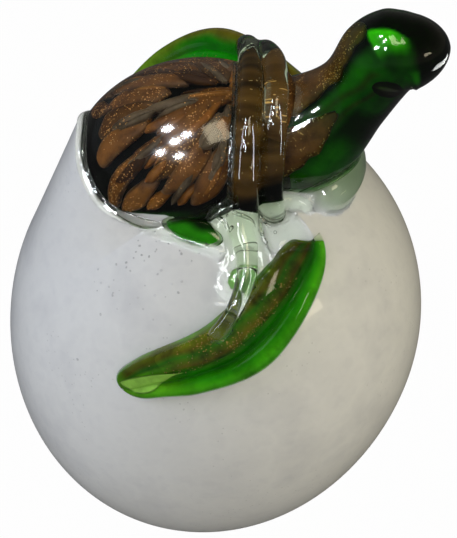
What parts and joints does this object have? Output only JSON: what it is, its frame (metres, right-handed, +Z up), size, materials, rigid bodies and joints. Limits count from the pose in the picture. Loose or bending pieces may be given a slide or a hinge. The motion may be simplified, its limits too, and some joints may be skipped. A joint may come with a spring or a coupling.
{
  "type": "glass turtle figurine",
  "caption": "Hot-worked glass sea-turtle hatchling, copper-fleck shell under clear glass and green neck and flippers, climbing out of a white glass egg that stands on a ground foot.",
  "frame": {"origin": "middle of the ground foot under the egg", "axes": "+Z up from the table, +X the way the turtle faces, +Y towards its left flipper"},
  "size_m": [0.0767, 0.0792, 0.1103],
  "materials": {
    "opal_white_glass": "polished, cloudy white",
    "clear_glass": "fire-polished, clear",
    "green_glass": "fire-polished, deep transparent green",
    "dark_green_glass": "fire-polished, nearly black green",
    "copper_fleck_glass": "brown with glittering copper flecks",
    "black_glass": "polished black"
  },
  "bodies": {
    "root": {"egg_core": "opal_white_glass", "egg_casing": "clear_glass", "opening_rim": "clear_glass", "body_core": "dark_green_glass", "shell_casing": "clear_glass", "shell_chip_01": "copper_fleck_glass", "shell_chip_02": "copper_fleck_glass", "shell_chip_03": "copper_fleck_glass", "shell_chip_04": "copper_fleck_glass", "shell_chip_05": "copper_fleck_glass", "shell_chip_06": "copper_fleck_glass", "shell_chip_07": "copper_fleck_glass", "shell_chip_08": "copper_fleck_glass", "shell_chip_09": "copper_fleck_glass", "shell_chip_10": "copper_fleck_glass", "shell_chip_11": "copper_fleck_glass", "shell_chip_12": "copper_fleck_glass", "shell_chip_13": "copper_fleck_glass", "shell_chip_14": "copper_fleck_glass", "shell_chip_15": "copper_fleck_glass", "shell_chip_16": "copper_fleck_glass", "shell_chip_17": "copper_fleck_glass", "shell_chip_18": "copper_fleck_glass", "shell_chip_19": "copper_fleck_glass", "shell_chip_20": "copper_fleck_glass", "shell_chip_21": "copper_fleck_glass", "shell_chip_22": "copper_fleck_glass", "neck_and_head": "green_glass", "nape_coat": "copper_fleck_glass", "throat_coat_right": "copper_fleck_glass", "throat_coat_left": "copper_fleck_glass", "eye_right": "black_glass", "eye_left": "black_glass", "strap_rear": "clear_glass", "strap_front": "clear_glass", "shoulder_web_right": "clear_glass", "shoulder_web_left": "clear_glass", "throat_web": "clear_glass", "flipper_right": "green_glass", "flipper_right_coat": "copper_fleck_glass", "flipper_left": "green_glass", "flipper_left_coat": "copper_fleck_glass"}
  },
  "joints": []
}
